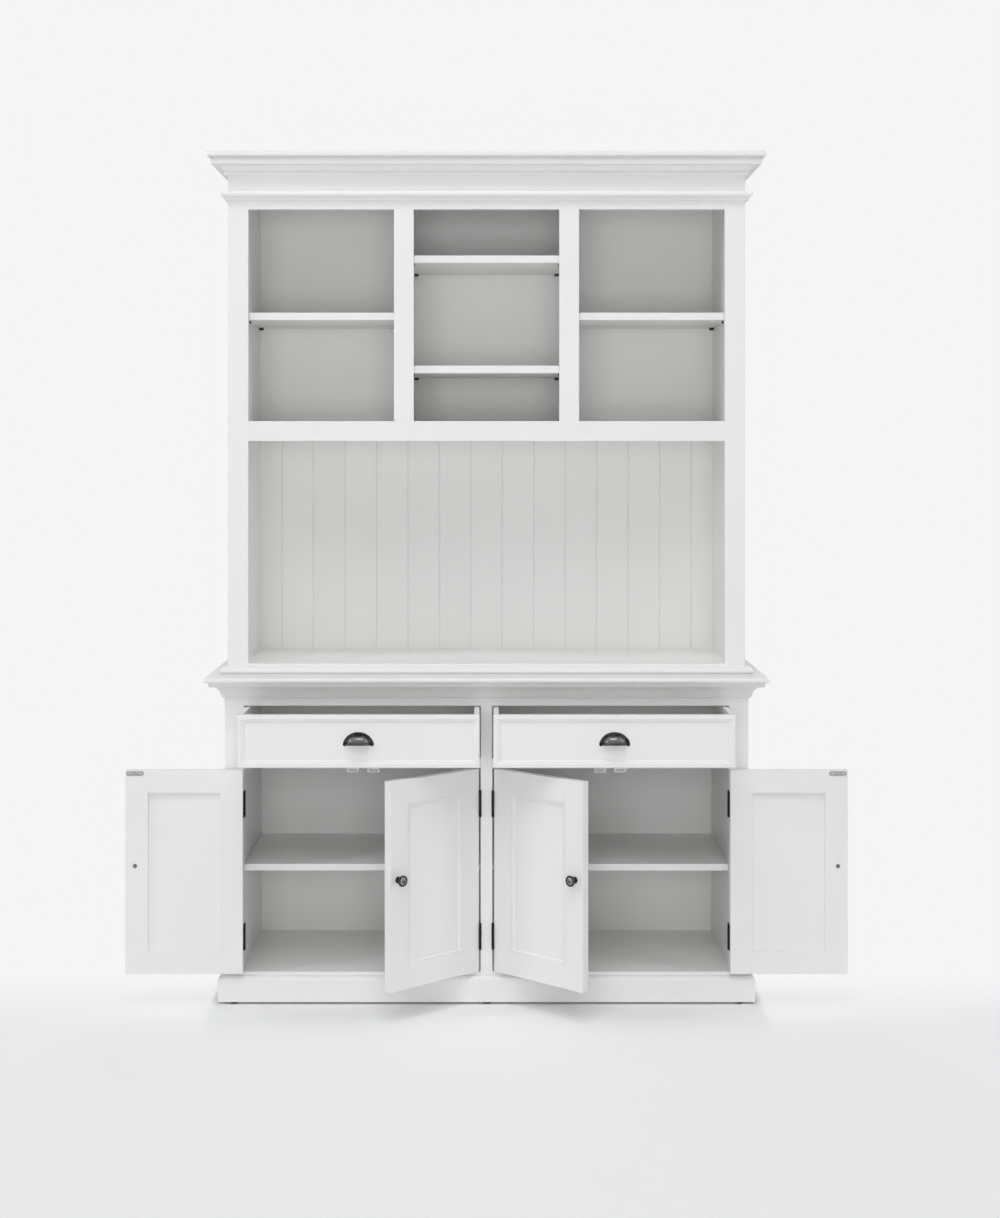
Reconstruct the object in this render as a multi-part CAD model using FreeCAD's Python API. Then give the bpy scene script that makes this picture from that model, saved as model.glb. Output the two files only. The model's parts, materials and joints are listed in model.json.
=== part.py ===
import FreeCAD, Part
import math
import os
from FreeCAD import Vector

# A buffet base with two drawers and four doors carries an open hutch. Sizes are in millimetres.
# X runs to the right, Y to the back and Z up. The origin is on the floor under the worktop's middle.

# Carcass of the base
bay_width = 610.0             # clear width of a bay, stile to stile
base_stile_width = 50.0
centre_stile_width = 30.0
carcass_depth = 450.0         # face of the base to its back
frame_thickness = 22.0        # stiles, rails and doors
side_thickness = 20.0         # outer side boards of base and hutch
back_thickness = 12.0
plain_back_recess = 3.0       # plain backs in front of the sides' rear edges
board_thickness = 18.0        # floor, partition and shelves of the base
base_wall_setback = 5.0       # base lining behind the stile's edge
bearer_width = 22.0

# Heights of the base, from the floor up
bottom_rail_height = 74.0
door_opening_height = 526.0
drawer_rail_height = 24.0
drawer_opening_height = 136.0
top_rail_height = 54.0
drawer_rail_depth = 60.0
base_shelf_rise = 253.0       # floor to underside of the shelf
base_shelf_setback = 12.0

# Plinth, applied to the foot of the base
plinth_height = 66.0
plinth_projection = 16.0
plinth_shares = ((0, 0, 0), (1, 0, 0), (1, 0.8, 0.2), (0.35, 1, 0), (0, 1, 0))

# Glides that lift the carcass and its plinth off the floor
glide_height = 6.0
glide_radius = 10.0
glide_rear_inset = 20.0       # rear glide to the back

# Worktop and the moulding under it
overhang = 50.0               # worktop and hutch top past the carcass
nosing_thickness = 13.0
nosing_round = 5.5
step_thickness = 9.0
step_projection = 38.0
cove_share = -0.2             # bend of an edge as a share of its length
round_share = 0.2
worktop_moulding_height = 34.0
worktop_moulding_projection = 35.0
worktop_moulding_shares = (
    (0, 0, 0), (0.12, 0, 0), (0.12, 0.04, round_share), (0.2, 0.2, 0), (0.26, 0.22, cove_share),
    (0.94, 0.93, 0), (1, 0.93, 0), (1, 1, 0), (0, 1, 0),
)

# Hutch
hutch_setback = 62.0          # hutch face behind the base face
hutch_stile_width = 53.0
inner_stile_width = 51.5
hutch_wall_setback = 11.0     # lining and partitions behind the stile's edge
hutch_floor_height = 26.0
bay_height = 581.0
middle_rail_height = 52.0
compartment_height = 553.0
hutch_top_rail_height = 132.0
hutch_top_thickness = 14.0
hutch_top_round = 5.0
hutch_board_thickness = 22.0  # fixed shelf
hutch_shelf_thickness = 20.0
side_shelf_rise = 265.0       # compartment floor to underside of a shelf
low_shelf_rise = 126.0
high_shelf_rise = 415.0
shelf_setback = 2.0           # loose shelf behind the face frame
shelf_clearance = 0.5
shelf_round = 2.0

# Mouldings of the hutch
foot_height = 21.0
foot_projection = 20.0
foot_shares = (
    (0, 0, 0), (0.7, 0, 0), (0.7, 0.14, 0), (0.85, 0.16, round_share), (1, 0.42, round_share),
    (0.85, 0.72, 0), (0.6, 0.85, 0), (0.6, 1, 0), (0, 1, 0),
)
necking_rise = 23.0           # underside of the top rail to the necking bead
necking_height = 23.0
necking_projection = 18.0
necking_shares = (
    (0, 0, 0), (0.45, 0, cove_share), (0.67, 0.35, 0), (0.8, 0.4, round_share), (0.8, 1, 0), (0, 1, 0),
)
cornice_height = 44.0
cornice_projection = 39.0
cornice_shares = (
    (0, 0, 0), (0.2, 0, round_share), (0.2, 0.24, 0), (0.31, 0.26, cove_share), (0.76, 0.58, 0),
    (1, 0.58, 0), (1, 0.87, 0), (0.87, 0.87, 0), (0.87, 1, 0), (0, 1, 0),
)

# Tongue-and-groove boards behind the bay
back_board_pitch = 88.3
groove_bevel = 2.5
rear_bevel = 1.2
tongue_length = 5.0
tongue_thickness = 4.0
tongue_clearance = 0.2

# Shelf pins: a shank in the wall and a flat-topped rest under the shelf
pin_shank_radius = 2.5
pin_shank_length = 9.0
pin_rest_radius = 5.0
pin_rest_length = 12.0
pin_flat_share = 0.4          # height of the flat above the axis, of the rest's radius
pin_inset = 32.0              # pin to the front or rear edge of the shelf

# Doors
door_gap = 2.0
hinge_gap = 2.2
meeting_gap = 3.0
door_member_width = 58.0
panel_thickness = 5.0
panel_back_recess = 9.0
panel_tongue = 8.0            # panel inside the frame's groove
panel_clearance = 0.15
door_moulding_width = 12.0
door_moulding_height = 6.0
door_moulding_shares = (
    (0, 0, 0), (0, 1, 0), (0.25, 1, 0), (0.3, 0.85, cove_share), (0.65, 0.6, round_share),
    (1, 0.3, 0), (1, 0, 0),
)
edge_round = 1.2
outer_door_angle = 180.0      # opened flat in front of the stile
inner_door_angle = 43.5

# Butt hinges
hinge_height = 65.0
hinge_inset = 90.0            # hinge middle to the door's end
knuckle_radius = 3.2
knuckle_clearance = 0.3
hinge_pin_radius = 1.5
hinge_pin_head_radius = 2.6
hinge_pin_head_height = 2.0
running_clearance = 0.05      # radial, pin in knuckle and shank in hole
leaf_width = 20.0
leaf_thickness = 1.0
leaf_screw_pitch = 42.0
leaf_screw_share = 0.62       # screw's place across the leaf

# Countersunk screws
screw_head_radius = 2.8
screw_shank_radius = 1.4
screw_length = 12.0

# Knobs and their bolts
knob_radius = 14.0
knob_length = 26.0
knob_edge_inset = 25.0
knob_height_share = 0.53      # of the door's height
knob_shares = (
    (0.55, 0, 0), (0.55, 0.07, cove_share), (0.36, 0.2, 0), (0.36, 0.4, cove_share),
    (0.95, 0.66, round_share),
)
knob_rim_share = 0.95         # of the knob's radius, where its dome begins
knob_brow_share = 0.76        # of the knob's length, where its dome begins
bolt_radius = 2.0
bolt_grip = 9.0               # bolt inside the knob
bolt_head_radius = 5.0
bolt_head_height = 2.2

# Strike plates and magnetic catches
strike_length = 46.0
strike_width = 12.0
strike_thickness = 1.2
strike_inset = 2.0
strike_screw_pitch = 28.0
catch_width = 33.0
catch_height = 16.5
catch_depth = 30.0
catch_gap = 0.6               # strike to catch with the door shut
catch_round = 2.5
magnet_width = 22.0
magnet_height = 6.0
magnet_depth = 8.0

# Drawers and their runners
drawer_gap = 2.0
drawer_pulled_out = 168.0
drawer_bead_width = 18.5
drawer_bead_rise = 5.5
drawer_bead_shares = (
    (0, 0, 0), (0, 0.55, round_share), (0.12, 1, 0), (0.58, 1, 0), (0.62, 0.65, 0),
    (0.74, 0.55, cove_share), (1, 0, 0),
)
drawer_board_thickness = 13.0
drawer_box_length = 390.0
drawer_box_clearance = 3.0    # box to the stile's edge
drawer_side_drop = 0.5        # box below the top of the front
drawer_bottom_thickness = 6.0
drawer_bottom_rise = 10.0
drawer_groove = 5.0
groove_clearance = 0.1
runner_clearance = 0.3
runner_width = 30.0
guide_height = 22.0

# Cup pulls
pull_width = 79.0
pull_height = 36.0
pull_depth = 22.0
pull_wall = 2.2
pull_rim = 9.5                # flat flange round the hood
pull_drop = 12.5              # drawer front's middle to the pull's lower edge
boss_radius = 4.0
boss_length = 8.0
boss_spacing = 40.0
boss_bolt_grip = 7.0          # bolt inside the boss
boss_height_share = 0.3       # of the pull's height

# A cutting tool reaches this far past what it cuts, and faces this close count as one.
overrun = 5.0
tolerance = 0.001

# Places that follow from the sizes
bay_edge = centre_stile_width / 2
bay_outer_edge = bay_edge + bay_width
bay_middle = bay_edge + bay_width / 2
half_body = bay_outer_edge + base_stile_width
half_inside = half_body - side_thickness
back = (carcass_depth + overhang) / 2
base_face = back - carcass_depth
frame_back = base_face + frame_thickness
panel_face = back - back_thickness
plain_back_rear = back - plain_back_recess
floor_top = glide_height + bottom_rail_height
door_head = floor_top + door_opening_height
drawer_foot = door_head + drawer_rail_height
drawer_head = drawer_foot + drawer_opening_height
worktop_underside = drawer_head + top_rail_height
worktop_top = worktop_underside + step_thickness + nosing_thickness
base_wall = bay_outer_edge + base_wall_setback
hutch_face = base_face + hutch_setback
hutch_frame_back = hutch_face + frame_thickness
hutch_floor_top = worktop_top + hutch_floor_height
bay_head = hutch_floor_top + bay_height
compartment_floor = bay_head + middle_rail_height
compartment_head = compartment_floor + compartment_height
hutch_frame_top = compartment_head + hutch_top_rail_height
hutch_edge = half_body - hutch_stile_width
hutch_wall = hutch_edge + hutch_wall_setback
compartment_width = (2 * hutch_edge - 2 * inner_stile_width) / 3
inner_stile_near = compartment_width / 2
inner_stile_far = inner_stile_near + inner_stile_width
partition_near = inner_stile_near + hutch_wall_setback
partition_far = inner_stile_far - hutch_wall_setback
upper_back_foot = compartment_floor - hutch_board_thickness / 2
knuckle_offset = knuckle_radius + knuckle_clearance
door_width = (bay_width - 2 * hinge_gap - meeting_gap) / 2
door_foot = floor_top + door_gap
door_top = door_head - door_gap
door_hinge_edge = -hinge_gap / 2
door_free_edge = door_hinge_edge - door_width
door_back = knuckle_offset + frame_thickness
hinge_line = base_face - knuckle_offset

x_axis = Vector(1, 0, 0)
y_axis = Vector(0, 1, 0)
z_axis = Vector(0, 0, 1)
centre = Vector(0, 0, 0)


def board(x_low, x_high, y_low, y_high, z_low, z_high):
    """Square-edged board between two corners."""
    return Part.makeBox(x_high - x_low, y_high - y_low, z_high - z_low, Vector(x_low, y_low, z_low))


def ease(solid, radius, picks):
    """Round over the edges whose bounding box the test picks."""
    return solid.makeFillet(radius, [edge for edge in solid.Edges if picks(edge.BoundBox)])


def ease_front(solid, radius):
    """Round over the two long edges at the front of a board."""
    front = solid.BoundBox.YMin + tolerance
    return ease(solid, radius, lambda box: box.YMax < front and box.XLength > box.ZLength)


def flip(shape):
    """The same piece on the other side of the middle."""
    return shape.mirror(centre, x_axis)


def both_sides(shape):
    return [shape, flip(shape)]


def sized(shares, across, along):
    """Outline points from shares of two sizes; the third number bends the edge that follows."""
    return [(u * across, v * along, bend) for u, v, bend in shares]


def outline(points, place):
    """Flat face inside a closed run of lines and arcs."""
    edges = []
    for (u, v, bend), (u_next, v_next, _) in zip(points, points[1:] + points[:1]):
        start = place(u, v)
        end = place(u_next, v_next)
        if bend:
            middle_u = (u + u_next) / 2 + bend * (v_next - v)
            middle_v = (v + v_next) / 2 - bend * (u_next - u)
            edges.append(Part.Arc(start, place(middle_u, middle_v), end).toShape())
        else:
            edges.append(Part.LineSegment(start, end).toShape())
    return Part.Face(Part.Wire(edges))


def prism(corners, travel):
    """Straight solid from a polygon of corners."""
    return Part.Face(Part.makePolygon(corners + corners[:1])).extrude(travel)


def mitred_run(points, face, rear, foot):
    """Moulding along the front and both sides of the carcass, mitred at the front corners.

    The points are (projection, height, bend), measured from the face and from the foot.
    """
    reach = max(u for u, v, bend in points) + overrun
    rise = max(v for u, v, bend in points)
    lift = Vector(0, 0, rise)
    front_bar = outline(points, lambda u, v: Vector(-half_body - reach, face - u, foot + v))
    front_bar = front_bar.extrude(Vector(2 * half_body + 2 * reach, 0, 0))
    front_cut = prism([
        Vector(-half_body - reach, face - reach, foot), Vector(half_body + reach, face - reach, foot),
        Vector(half_body - overrun, face + overrun, foot), Vector(-half_body + overrun, face + overrun, foot),
    ], lift)
    side_bar = outline(points, lambda u, v: Vector(half_body + u, face - reach, foot + v))
    side_bar = side_bar.extrude(Vector(0, rear - face + reach, 0))
    side_cut = prism([
        Vector(half_body + reach, face - reach, foot), Vector(half_body + reach, rear, foot),
        Vector(half_body - overrun, rear, foot), Vector(half_body - overrun, face + overrun, foot),
    ], lift)
    return [front_bar.common(front_cut)] + both_sides(side_bar.common(side_cut))


def mitred_frame(points, x_low, x_high, z_low, z_high, face):
    """Strip round the inside of an upright rectangle, mitred at its corners.

    The points are (inset, rise, bend), measured from the rectangle's edge and forwards from the face.
    """
    wide = max(u for u, v, bend in points) + overrun
    rear = face + overrun
    travel = Vector(0, -2 * overrun - max(v for u, v, bend in points), 0)
    middle = Vector((x_low + x_high) / 2, 0, (z_low + z_high) / 2)
    lower = outline(points, lambda u, v: Vector(x_low, face - v, z_low + u))
    lower = lower.extrude(Vector(x_high - x_low, 0, 0))
    lower_cut = prism([
        Vector(x_low - overrun, rear, z_low - overrun), Vector(x_high + overrun, rear, z_low - overrun),
        Vector(x_high - wide, rear, z_low + wide), Vector(x_low + wide, rear, z_low + wide),
    ], travel)
    left = outline(points, lambda u, v: Vector(x_low + u, face - v, z_low))
    left = left.extrude(Vector(0, 0, z_high - z_low))
    left_cut = prism([
        Vector(x_low - overrun, rear, z_low - overrun), Vector(x_low - overrun, rear, z_high + overrun),
        Vector(x_low + wide, rear, z_high - wide), Vector(x_low + wide, rear, z_low + wide),
    ], travel)
    lower = lower.common(lower_cut)
    left = left.common(left_cut)
    return [lower, lower.mirror(middle, z_axis), left, left.mirror(middle, x_axis)]


def nosed_board(projection, thickness, radius, face, foot):
    """Board over the carcass that stands out at the front and sides, with rounded edges there."""
    reach = half_body + projection
    solid = board(-reach, reach, face - projection, back, foot, foot + thickness)
    box = solid.BoundBox
    limits = (box.XMin + tolerance, box.XMax - tolerance, box.YMin + tolerance)

    def outside(edge):
        level = edge.ZLength < tolerance
        return level and (edge.XMax < limits[0] or edge.XMin > limits[1] or edge.YMax < limits[2])

    return ease(solid, min(radius, thickness / 2 - tolerance), outside)


def screw(head, direction, sheet, spread=0):
    """Countersunk screw through a thin sheet into wood; a spread widens it into its own hole."""
    cone = Part.makeCone(screw_head_radius + spread, screw_shank_radius + spread, sheet, head, direction)
    shank = Part.makeCylinder(screw_shank_radius + spread, screw_length + spread, head, direction)
    return cone.fuse(shank)


def bolt(seat, direction, length, spread=0):
    """Pan-head bolt: the head stands on the seat, and the shank runs the other way."""
    shank = Part.makeCylinder(bolt_radius + spread, length, seat, direction)
    if spread:
        return shank
    return shank.fuse(Part.makeCylinder(bolt_head_radius, bolt_head_height, seat, -direction))


def cut_all(solid, tools):
    for tool in tools:
        solid = solid.cut(tool)
    return solid


def shelf_pin(wall, way, y, underside):
    """Pin in a wall at X; way is the direction out of the wall. Returns the pin and its hole."""
    axis_height = underside - pin_flat_share * pin_rest_radius
    root = Vector(wall, y, axis_height)
    out = Vector(way, 0, 0)
    rest = Part.makeCylinder(pin_rest_radius, pin_rest_length, root, out)
    rest = rest.common(board(
        wall - pin_rest_length, wall + pin_rest_length, y - pin_rest_radius, y + pin_rest_radius,
        axis_height - pin_rest_radius, underside,
    ))
    shank = Part.makeCylinder(pin_shank_radius, pin_shank_length, root, -out)
    hole = Part.makeCylinder(
        pin_shank_radius + running_clearance, pin_shank_length + running_clearance, root, -out)
    return rest.fuse(shank), hole


def shelf_on_pins(left, right, face, underside, thickness):
    """Loose shelf between two walls. Returns the shelf, its pins and the holes in each wall."""
    rear = panel_face - shelf_clearance
    solid = board(
        left + shelf_clearance, right - shelf_clearance, face, rear, underside, underside + thickness)
    pins = []
    holes = {left: [], right: []}
    for wall, way in ((left, 1), (right, -1)):
        for y in (face + pin_inset, rear - pin_inset):
            pin, hole = shelf_pin(wall, way, y, underside)
            pins.append(pin)
            holes[wall].append(hole)
    return ease_front(solid, shelf_round), pins, holes


nodes = {}

# Base: plinth, sides, partition, floor and back
plinth = sized(plinth_shares, plinth_projection, plinth_height)
nodes["plinth_boards"] = mitred_run(plinth, base_face, back, glide_height)
floor_underside = floor_top - board_thickness
nodes["plinth_bearer"] = [
    board(-bearer_width / 2, bearer_width / 2, frame_back, panel_face, glide_height, floor_underside)]
nodes["base_floor"] = [board(-half_inside, half_inside, frame_back, panel_face, floor_underside, floor_top)]
nodes["base_back"] = [
    board(-half_inside, half_inside, panel_face, plain_back_rear, glide_height, worktop_underside)]
base_side = board(half_inside, half_body, frame_back, back, glide_height, worktop_underside)
base_lining = board(base_wall, half_inside, frame_back, panel_face, floor_top, worktop_underside)
half_partition = board_thickness / 2
base_partition = board(-half_partition, half_partition, frame_back, panel_face, floor_top, worktop_underside)

# Base: glides under the bearer, the stiles and the rear ends of the sides
glide_places = [(0, 0), (0, base_face)]
for side in (-1, 1):
    glide_places.append((side * (half_body - base_stile_width / 2), base_face))
    glide_places.append((side * half_body, back - glide_rear_inset))
nodes["floor_glides"] = [
    Part.makeCylinder(glide_radius, glide_height, Vector(x, y, 0)) for x, y in glide_places]

# Base: loose shelf of the right bay, repeated on the left
shelf_front = frame_back + base_shelf_setback
shelf_level = floor_top + base_shelf_rise
base_shelf, base_pins, base_holes = shelf_on_pins(
    half_partition, base_wall, shelf_front, shelf_level, board_thickness)
base_lining = cut_all(base_lining, base_holes[base_wall])
for hole in base_holes[half_partition]:
    base_partition = cut_all(base_partition, both_sides(hole))
nodes["base_side_right"] = [base_side, base_lining]
nodes["base_side_left"] = [flip(base_side), flip(base_lining)]
nodes["base_partition"] = [base_partition]
nodes["base_shelves"] = both_sides(base_shelf)
nodes["shelf_pins"] = [pin for half in base_pins for pin in both_sides(half)]

# Base: face frame
outer_stile = board(bay_outer_edge, half_body, base_face, frame_back, glide_height, worktop_underside)
centre_stile = board(-bay_edge, bay_edge, base_face, frame_back, glide_height, worktop_underside)
right_rails = [
    board(bay_edge, bay_outer_edge, base_face, frame_back, glide_height, floor_top),
    board(bay_edge, bay_outer_edge, base_face, base_face + drawer_rail_depth, door_head, drawer_foot),
    board(bay_edge, bay_outer_edge, base_face, frame_back, drawer_head, worktop_underside),
]
nodes["base_rails"] = [rail for half in right_rails for rail in both_sides(half)]

# Base: drawer runners on the lining and the partition, each with a lip that guides the drawer's side
drawer_half_box = bay_width / 2 - drawer_box_clearance
runner_front = base_face + drawer_rail_depth
right_runners = []
for wall, way, box_side in (
    (base_wall, -1, bay_middle + drawer_half_box),
    (half_partition, 1, bay_middle - drawer_half_box),
):
    tread = sorted((wall, wall + way * runner_width))
    lip = sorted((wall, box_side - way * runner_clearance))
    runner = board(tread[0], tread[1], runner_front, panel_face, door_head, drawer_foot)
    guide = board(lip[0], lip[1], runner_front, panel_face, drawer_foot, drawer_foot + guide_height)
    right_runners.append(runner.fuse(guide).removeSplitter())
nodes["drawer_runners"] = [runner for half in right_runners for runner in both_sides(half)]

# Worktop: a rounded nosing over a step, and the cove moulding below
worktop_step = board(
    -half_body - step_projection, half_body + step_projection, base_face - step_projection, back,
    worktop_underside, worktop_underside + step_thickness)
worktop_nosing = nosed_board(
    overhang, nosing_thickness, nosing_round, base_face, worktop_underside + step_thickness)
nodes["worktop"] = [worktop_nosing.fuse(worktop_step)]
worktop_moulding = sized(worktop_moulding_shares, worktop_moulding_projection, worktop_moulding_height)
nodes["worktop_moulding"] = mitred_run(
    worktop_moulding, base_face, back, worktop_underside - worktop_moulding_height)

# Hutch: sides, partitions, floor, fixed shelf and top
hutch_side = board(half_inside, half_body, hutch_frame_back, back, worktop_top, hutch_frame_top)
hutch_lining = board(hutch_wall, half_inside, hutch_frame_back, panel_face, hutch_floor_top, hutch_frame_top)
hutch_partition = board(
    partition_near, partition_far, hutch_frame_back, panel_face, compartment_floor, hutch_frame_top)
nodes["hutch_floor"] = [
    board(-half_inside, half_inside, hutch_frame_back, panel_face, worktop_top, hutch_floor_top)]
nodes["hutch_fixed_shelf"] = [
    board(-hutch_wall, hutch_wall, hutch_frame_back, panel_face,
          compartment_floor - hutch_board_thickness, compartment_floor)]
nodes["hutch_top"] = [
    nosed_board(overhang, hutch_top_thickness, hutch_top_round, hutch_face, hutch_frame_top)]

# Hutch: loose shelves, one in each side compartment and two in the middle one
hutch_shelf_front = hutch_frame_back + shelf_setback
side_shelf, side_pins, side_holes = shelf_on_pins(
    partition_far, hutch_wall, hutch_shelf_front, compartment_floor + side_shelf_rise, hutch_shelf_thickness)
hutch_lining = cut_all(hutch_lining, side_holes[hutch_wall])
hutch_partition = cut_all(hutch_partition, side_holes[partition_far])
nodes["hutch_shelves"] = both_sides(side_shelf)
nodes["shelf_pins"] += [pin for half in side_pins for pin in both_sides(half)]
for rise in (low_shelf_rise, high_shelf_rise):
    middle_shelf, middle_pins, middle_holes = shelf_on_pins(
        -partition_near, partition_near, hutch_shelf_front, compartment_floor + rise, hutch_shelf_thickness)
    hutch_partition = cut_all(hutch_partition, middle_holes[partition_near])
    nodes["hutch_shelves"].append(middle_shelf)
    nodes["shelf_pins"] += middle_pins
nodes["hutch_side_right"] = [hutch_side, hutch_lining]
nodes["hutch_side_left"] = [flip(hutch_side), flip(hutch_lining)]
nodes["hutch_partitions"] = both_sides(hutch_partition)

# Hutch: face frame
hutch_stile = board(hutch_edge, half_body, hutch_face, hutch_frame_back, worktop_top, hutch_frame_top)
inner_stile = board(
    inner_stile_near, inner_stile_far, hutch_face, hutch_frame_back, compartment_floor, compartment_head)
nodes["hutch_stiles"] = both_sides(hutch_stile) + both_sides(inner_stile)
nodes["hutch_rails"] = [
    board(-hutch_edge, hutch_edge, hutch_face, hutch_frame_back, foot, head)
    for foot, head in (
        (worktop_top, hutch_floor_top), (bay_head, compartment_floor), (compartment_head, hutch_frame_top))
]

# Hutch: mouldings
hutch_foot = sized(foot_shares, foot_projection, foot_height)
nodes["hutch_base_moulding"] = mitred_run(hutch_foot, hutch_face, back, worktop_top)
necking = sized(necking_shares, necking_projection, necking_height)
nodes["hutch_necking_bead"] = mitred_run(necking, hutch_face, back, compartment_head + necking_rise)
cornice = sized(cornice_shares, cornice_projection, cornice_height)
nodes["hutch_cornice"] = mitred_run(cornice, hutch_face, back, hutch_frame_top - cornice_height)


def back_board(left, right, tongued, grooved):
    """Bay back board with bevelled edges, a tongue on its right and a groove on its left."""
    bevel = groove_bevel
    corners = [
        (left, back - rear_bevel * bool(grooved)), (left + rear_bevel * bool(grooved), back),
        (right - rear_bevel * bool(tongued), back), (right, back - rear_bevel * bool(tongued)),
        (right, panel_face + bevel * bool(tongued)),
        (right - bevel * bool(tongued), panel_face), (left + bevel * bool(grooved), panel_face),
        (left, panel_face + bevel * bool(grooved)),
    ]
    places = [Vector(x, y, worktop_top) for x, y in dict.fromkeys(corners)]
    solid = prism(places, Vector(0, 0, upper_back_foot - worktop_top))
    middle = (panel_face + bevel + back) / 2
    half_tongue = tongue_thickness / 2
    if grooved:
        half_groove = half_tongue + tongue_clearance
        solid = solid.cut(board(
            left - overrun, left + tongue_length + tongue_clearance,
            middle - half_groove, middle + half_groove,
            worktop_top - overrun, upper_back_foot + overrun))
    if tongued:
        solid = solid.fuse(board(
            right - tolerance, right + tongue_length, middle - half_tongue, middle + half_tongue,
            worktop_top, upper_back_foot)).removeSplitter()
    return solid


# Hutch: back boards of the bay, with whole boards about the middle and cut ones at the sides
whole_on_a_side = int(half_inside / back_board_pitch - 1 / 2)
seams = [(step + 1 / 2) * back_board_pitch for step in range(-whole_on_a_side - 1, whole_on_a_side + 1)]
edges = [-half_inside] + seams + [half_inside]
nodes["hutch_back_boards"] = [
    back_board(left, right, right < half_inside, left > -half_inside)
    for left, right in zip(edges, edges[1:])
]
nodes["hutch_upper_back"] = [
    board(-half_inside, half_inside, panel_face, plain_back_rear, upper_back_foot, hutch_frame_top)]


# Doors are built shut about a hinge line at X = 0 and Y = 0, with the free edge towards -X.
def door_members():
    """Two stiles and two rails, grooved for the panel, with the outer arrises eased."""
    inner_left = door_free_edge + door_member_width
    inner_right = door_hinge_edge - door_member_width
    inner_foot = door_foot + door_member_width
    inner_head = door_top - door_member_width
    front = knuckle_offset
    panel_rear = door_back - panel_back_recess
    panel_front = panel_rear - panel_thickness
    reach = panel_tongue + panel_clearance
    groove = board(
        inner_left - reach, inner_right + reach, panel_front - panel_clearance, panel_rear + panel_clearance,
        inner_foot - reach, inner_head + reach)
    members = []
    for left, right in ((door_free_edge, inner_left), (inner_right, door_hinge_edge)):
        outer = left if left == door_free_edge else right
        stile = ease(
            board(left, right, front, door_back, door_foot, door_top), edge_round,
            lambda box: box.ZLength > door_member_width and abs(box.Center.x - outer) < tolerance)
        members.append(stile.cut(groove))
    for foot, head in ((door_foot, inner_foot), (inner_head, door_top)):
        outer = foot if foot == door_foot else head
        rail = ease(
            board(inner_left, inner_right, front, door_back, foot, head), edge_round,
            lambda box: box.XLength > door_member_width and abs(box.Center.z - outer) < tolerance)
        members.append(rail.cut(groove))
    panel = board(
        inner_left - panel_tongue, inner_right + panel_tongue, panel_front, panel_rear,
        inner_foot - panel_tongue, inner_head + panel_tongue)
    moulding = sized(door_moulding_shares, door_moulding_width, door_moulding_height)
    strips = mitred_frame(moulding, inner_left, inner_right, inner_foot, inner_head, panel_front)
    return members, [panel] + strips


def door_knob():
    """Turned knob on the front near the free edge, its bolt through the stile, and the bolt's hole."""
    seat = Vector(door_free_edge + knob_edge_inset, knuckle_offset,
                  door_foot + knob_height_share * (door_top - door_foot))
    bore = bolt_radius + running_clearance
    depth = bolt_grip + running_clearance
    rim = knob_rim_share * knob_radius
    brow = knob_brow_share * knob_length
    dome_bend = math.tan(math.atan2(knob_length - brow, rim) / 2) / 2
    points = sized(knob_shares, knob_radius, knob_length)
    points += [(rim, brow, dome_bend), (0, knob_length, 0), (0, depth, 0), (bore, depth, 0), (bore, 0, 0)]
    turned = outline(points, lambda u, v: Vector(u, 0, v)).revolve(centre, z_axis, 360)
    turned.rotate(centre, x_axis, 90)
    turned.translate(seat)
    rear = seat + Vector(0, frame_thickness, 0)
    length = frame_thickness + bolt_grip
    hole = bolt(rear, -y_axis, length, running_clearance)
    return [turned, bolt(rear, -y_axis, length)], hole


def hinge_leaf(way, sleeves, middle):
    """Leaf on one side of the hinge line with its sleeves; way is +1 on the frame and -1 on the door."""
    low = middle - hinge_height / 2
    sheet = sorted((way * (hinge_gap / 2 - leaf_thickness), way * hinge_gap / 2))
    leaf = board(sheet[0], sheet[1], knuckle_offset, leaf_width, low, low + hinge_height)
    for foot, head in sleeves:
        leaf = leaf.fuse(board(sheet[0], sheet[1], 0, knuckle_offset, low + foot, low + head))
        leaf = leaf.fuse(Part.makeCylinder(knuckle_radius, head - foot, Vector(0, 0, low + foot), z_axis))
    bore = hinge_pin_radius + running_clearance
    leaf = leaf.cut(Part.makeCylinder(bore, hinge_height + 2 * overrun, Vector(0, 0, low - overrun), z_axis))
    screws = []
    holes = []
    for side in (-1, 1):
        head = Vector(way * (hinge_gap / 2 - leaf_thickness), leaf_screw_share * leaf_width,
                      middle + side * leaf_screw_pitch / 2)
        screws.append(screw(head, way * x_axis, leaf_thickness))
        holes.append(screw(head, way * x_axis, leaf_thickness, running_clearance))
    return cut_all(leaf, holes).removeSplitter(), screws, holes


def hinge(middle):
    """Frame leaf, door leaf and pin of one butt hinge, with the screws and their holes."""
    third = hinge_height / 3
    frame_side = hinge_leaf(1, ((0, third), (2 * third, hinge_height)), middle)
    door_side = hinge_leaf(-1, ((third + knuckle_clearance, 2 * third - knuckle_clearance),), middle)
    low = Vector(0, 0, middle - hinge_height / 2)
    high = Vector(0, 0, middle + hinge_height / 2)
    pin = Part.makeCylinder(hinge_pin_radius, hinge_height, low, z_axis)
    pin = pin.fuse(Part.makeCylinder(hinge_pin_head_radius, hinge_pin_head_height, high, z_axis))
    pin = pin.fuse(Part.makeCylinder(hinge_pin_head_radius, hinge_pin_head_height, low, -z_axis))
    return frame_side, door_side, pin


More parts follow.
